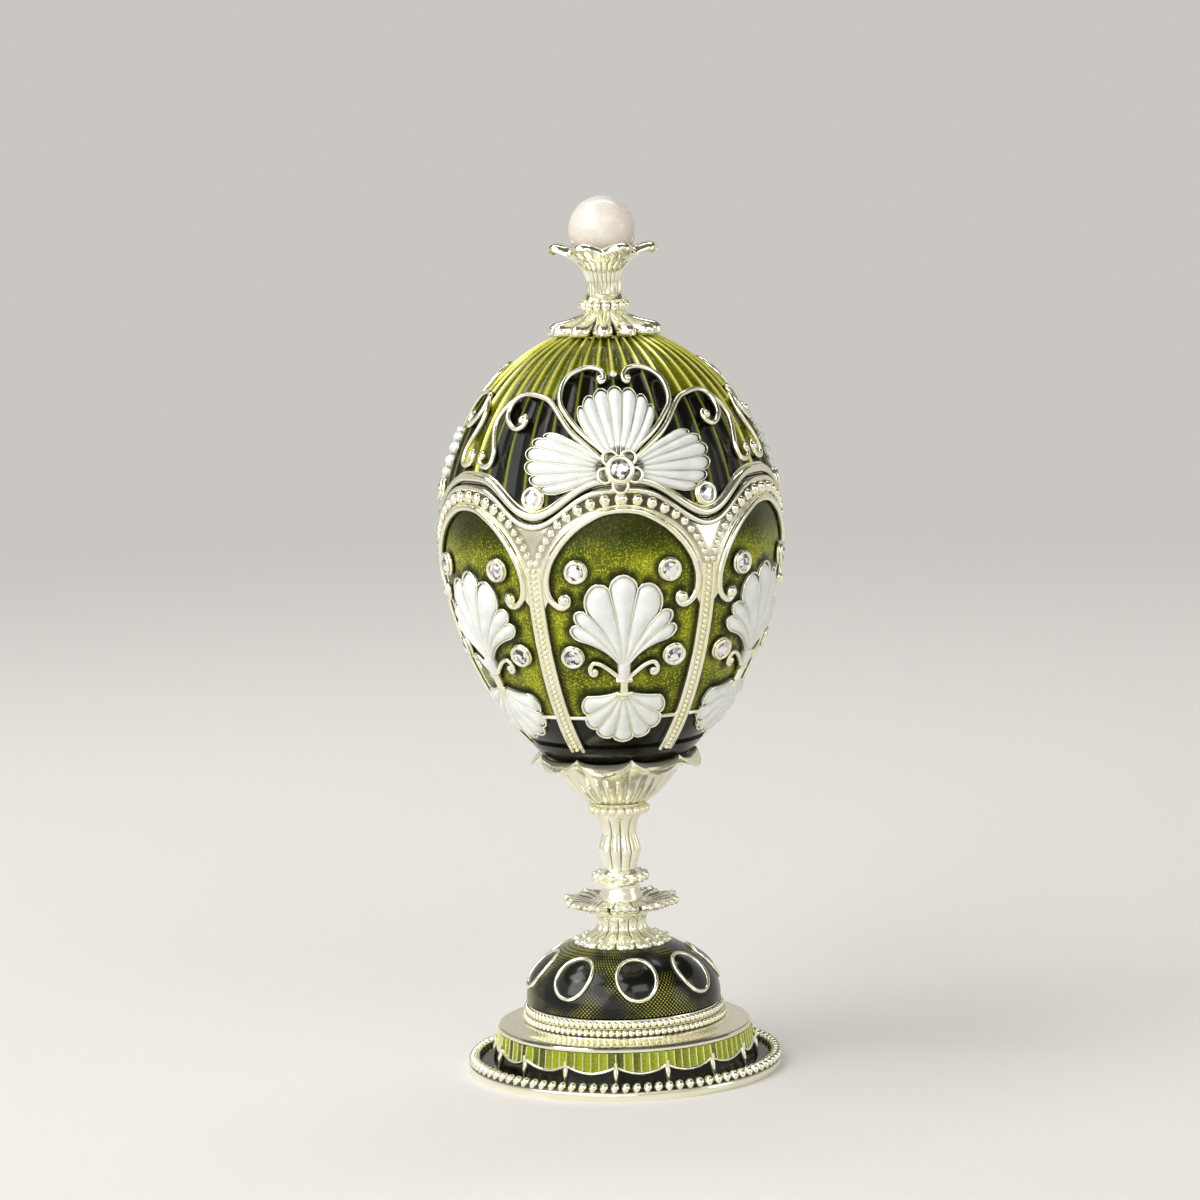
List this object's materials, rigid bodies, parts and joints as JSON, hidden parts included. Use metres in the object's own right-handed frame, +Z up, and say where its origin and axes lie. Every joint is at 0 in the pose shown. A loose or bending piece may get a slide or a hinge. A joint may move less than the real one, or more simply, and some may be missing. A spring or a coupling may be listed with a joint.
{
  "type": "egg jewelry box",
  "caption": "Egg-shaped jewelry box on a domed pedestal foot, with a lid hinged at the back, enamelled panels, white shell ornament, set stones and a pearl finial.",
  "frame": {"origin": "centre of the flat underside, on the table", "axes": "+Z up along the stem, -Y to the front panel, +Y to the hinge"},
  "size_m": [0.0516, 0.0528, 0.1313],
  "materials": {
    "gold_plated_cast": "polished pale gold plating",
    "green_enamel": "glossy translucent enamel",
    "black_enamel": "glossy enamel",
    "white_enamel": "glossy enamel",
    "pearl": "pearl coat",
    "crystal": "cut and polished",
    "steel": "plain",
    "felt": "felt"
  },
  "bodies": {
    "stand": {"foot_plinth": "gold_plated_cast", "base_pad": "felt", "plinth_enamel": "black_enamel", "skirt_enamel": "green_enamel", "gallery_ring": "gold_plated_cast", "base_dome": "gold_plated_cast", "stem_calyx": "gold_plated_cast", "leaf_collar": "gold_plated_cast", "baluster": "gold_plated_cast", "egg_cup": "gold_plated_cast", "stem_screw": "steel", "stem_washer": "steel", "egg_bowl": "gold_plated_cast", "panel_enamel_1": "green_enamel", "panel_enamel_2": "green_enamel", "panel_enamel_3": "green_enamel", "panel_enamel_4": "green_enamel", "panel_enamel_5": "green_enamel", "panel_enamel_6": "green_enamel", "panel_ornament_1": "white_enamel", "panel_ornament_2": "white_enamel", "panel_ornament_3": "white_enamel", "panel_ornament_4": "white_enamel", "panel_ornament_5": "white_enamel", "panel_ornament_6": "white_enamel", "bowl_hinge": "gold_plated_cast", "hinge_pin": "gold_plated_cast", "bowl_magnet": "steel"},
    "lid": {"lid_shell": "gold_plated_cast", "crown_enamel": "green_enamel", "cartouche_enamel_1": "black_enamel", "cartouche_enamel_2": "black_enamel", "cartouche_enamel_3": "black_enamel", "scroll_frame_1": "gold_plated_cast", "scroll_frame_2": "gold_plated_cast", "scroll_frame_3": "gold_plated_cast", "rosette_crystal_1": "crystal", "rosette_crystal_2": "crystal", "rosette_crystal_3": "crystal", "middle_shell_1": "white_enamel", "middle_shell_2": "white_enamel", "middle_shell_3": "white_enamel", "left_shell_1": "white_enamel", "left_shell_2": "white_enamel", "left_shell_3": "white_enamel", "right_shell_1": "white_enamel", "right_shell_2": "white_enamel", "right_shell_3": "white_enamel", "finial_collar": "gold_plated_cast", "finial_cup": "gold_plated_cast", "pearl": "pearl", "finial_stud": "steel", "finial_nut": "steel", "lid_hinge": "gold_plated_cast", "lid_magnet": "steel"}
  },
  "joints": [
    {"name": "lid_hinge", "type": "hinge", "parent": "stand", "child": "lid", "pos_m": [0, 0.02529, 0.0902], "axis": [-1, 0, 0], "range_deg": [0, 95]}
  ]
}
